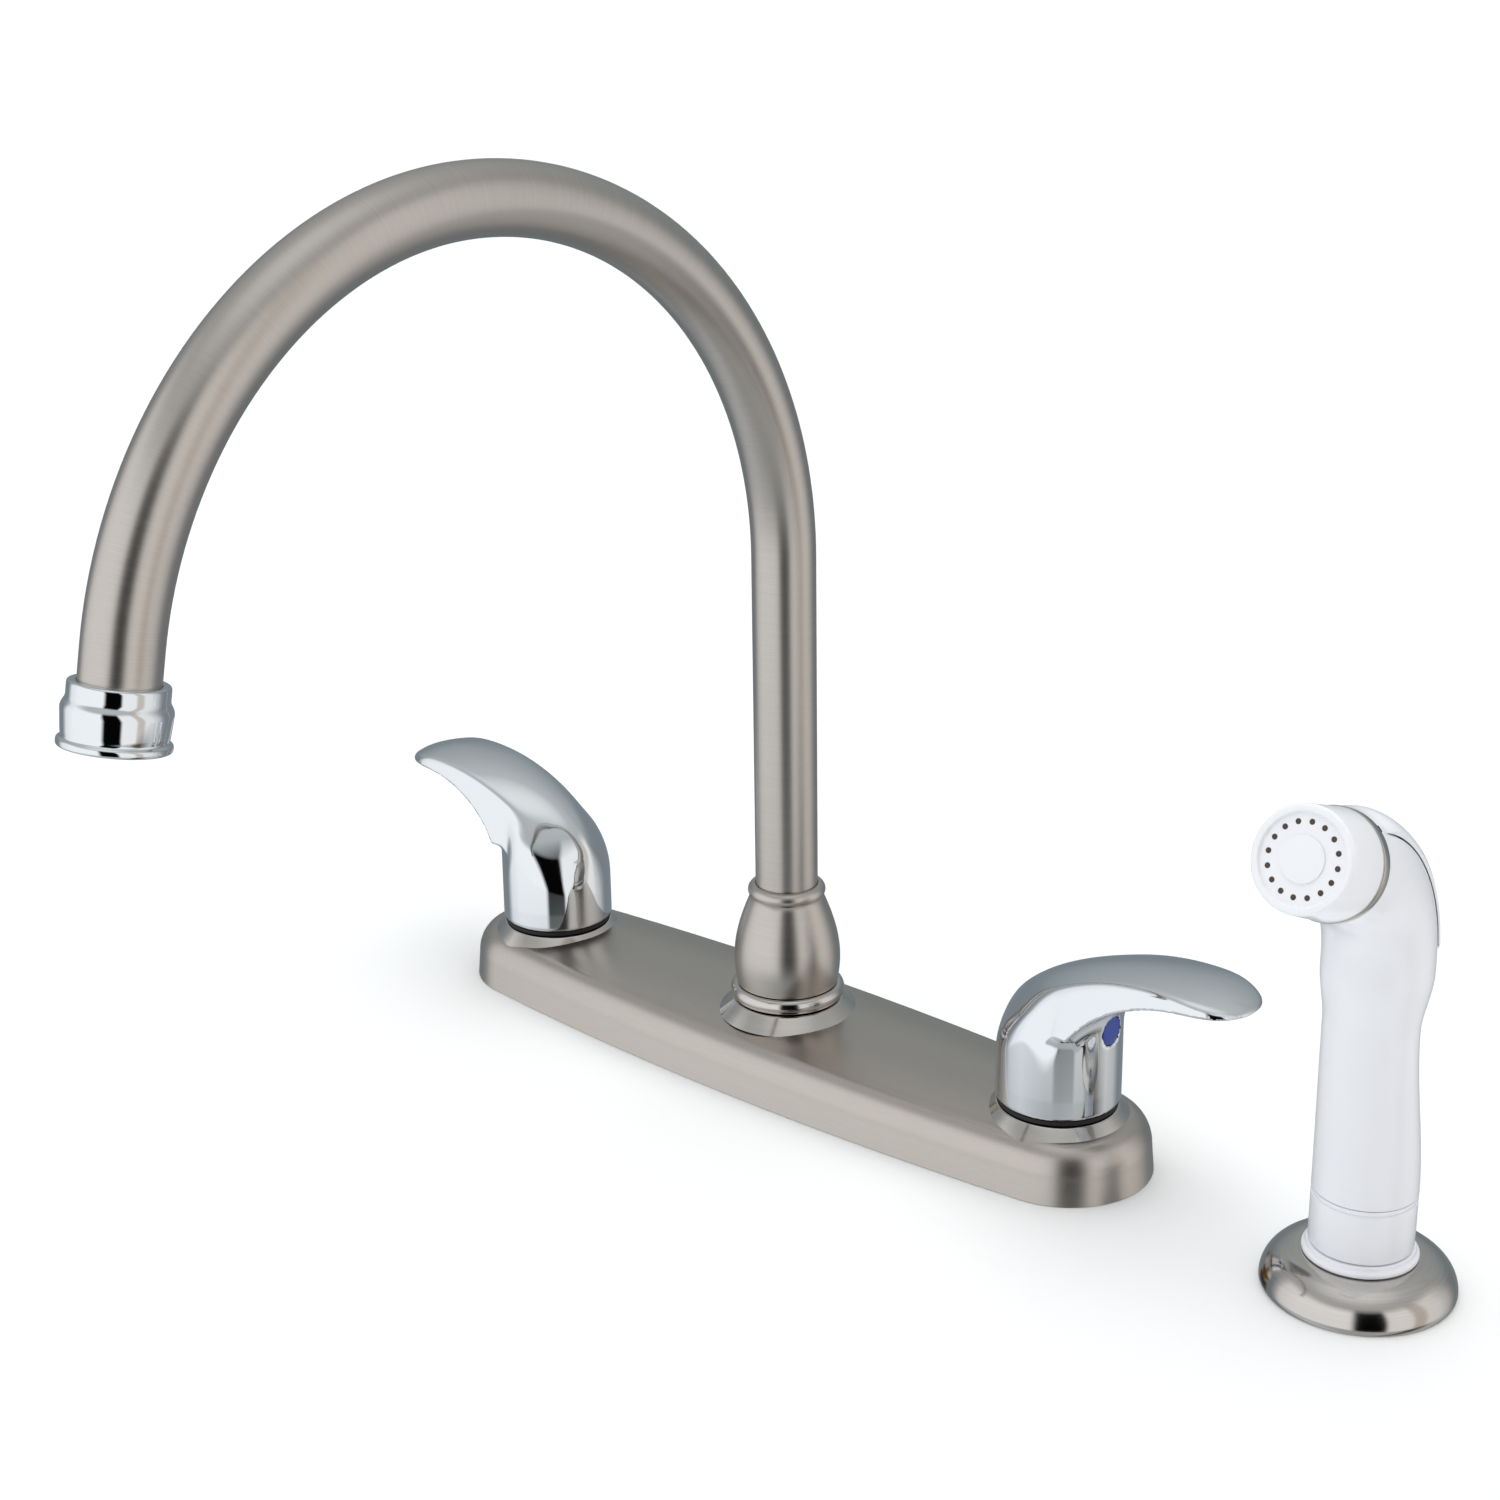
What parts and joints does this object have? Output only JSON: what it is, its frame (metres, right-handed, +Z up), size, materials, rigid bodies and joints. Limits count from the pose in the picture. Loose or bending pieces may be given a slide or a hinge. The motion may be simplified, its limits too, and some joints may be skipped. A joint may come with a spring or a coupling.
{
  "type": "two-handle kitchen faucet with side spray",
  "caption": "Bridge-plate kitchen faucet: satin gooseneck spout with bell collar, chrome lever handles on a bowed deck plate, and a white side spray in its own holder.",
  "frame": {"origin": "centre of the deck plate on the worktop's top face, on the spout's swivel axis", "axes": "+Z up; +X along the deck plate from the hot handle to the cold handle and on to the side spray; the spout reaches towards -Y"},
  "size_m": [0.3897, 0.2763, 0.3394],
  "materials": {
    "satin_nickel": "satin brushed nickel plate",
    "chrome": "polished chrome plate",
    "brass": "machined brass",
    "black_rubber": "matt",
    "white_plastic": "gloss",
    "grey_plastic": "matt",
    "steel": "plain",
    "red_plastic": "gloss",
    "blue_plastic": "gloss"
  },
  "bodies": {
    "faucet": {"deck_plate": "satin_nickel", "waterway_body": "brass", "spray_flange": "satin_nickel", "spout_hub": "brass", "spray_holder": "white_plastic", "base_insert": "grey_plastic", "handle_gasket_hot": "black_rubber", "handle_gasket_cold": "black_rubber", "valve_cartridge_hot": "brass", "valve_cartridge_cold": "brass", "spray_outlet": "brass", "shank_nut_hot": "grey_plastic", "shank_nut_cold": "grey_plastic", "spout_oring_lower": "brass", "spout_oring_upper": "brass", "inlet_shank_hot": "brass", "shank_washer_hot": "grey_plastic", "inlet_shank_cold": "brass", "shank_washer_cold": "grey_plastic", "spray_diverter": "grey_plastic", "spray_holder_washer": "grey_plastic", "spray_holder_nut": "grey_plastic", "bonnet_nut_hot": "brass", "bonnet_nut_cold": "brass"},
    "spout": {"spout_tube": "satin_nickel", "spout_bell": "satin_nickel", "spout_ring": "satin_nickel", "aerator_shell": "chrome", "aerator_washer": "black_rubber", "aerator_screen": "grey_plastic"},
    "hot_lever": {"handle_hot": "chrome", "valve_stem_hot": "brass", "grub_screw_hot": "steel", "index_button_hot": "red_plastic"},
    "cold_lever": {"handle_cold": "chrome", "valve_stem_cold": "brass", "grub_screw_cold": "steel", "index_button_cold": "blue_plastic"},
    "sprayer": {"wand_body": "white_plastic", "wand_sleeve": "white_plastic", "wand_hose_socket": "brass", "spray_head_ring": "satin_nickel", "spray_face": "white_plastic", "spray_face_disc": "white_plastic", "trigger_pin": "steel"},
    "trigger": {"spray_trigger": "white_plastic"},
    "plunger": {"spray_plunger": "grey_plastic"}
  },
  "joints": [
    {"name": "spout_swivel", "type": "hinge", "parent": "faucet", "child": "spout", "pos_m": [0, 0, 0.03], "axis": [0, 0, -1], "range_deg": [-90, 90]},
    {"name": "hot_turn", "type": "hinge", "parent": "faucet", "child": "hot_lever", "pos_m": [-0.1016, 0, 0.03], "axis": [0, 0, 1], "range_deg": [0, 90]},
    {"name": "cold_turn", "type": "hinge", "parent": "faucet", "child": "cold_lever", "pos_m": [0.1016, 0, 0.03], "axis": [0, 0, -1], "range_deg": [0, 90]},
    {"name": "sprayer_lift", "type": "slide", "parent": "faucet", "child": "sprayer", "axis": [0, 0, 1], "range_m": [0, 0.045]},
    {"name": "trigger_press", "type": "hinge", "parent": "sprayer", "child": "trigger", "pos_m": [0.2002, -0.02483, 0.13472], "axis": [-1, 0, 0], "range_deg": [0, 4], "stiffness_Nm_per_rad": 2, "springref_deg": -5.73},
    {"name": "plunger_push", "type": "slide", "parent": "sprayer", "child": "plunger", "axis": [0, -0.788, -0.6157], "range_m": [0, 0.00165]}
  ],
  "couplings": [
    {"joint": "plunger_push", "follows": "trigger_press", "m_per_rad": 0.0222}
  ]
}
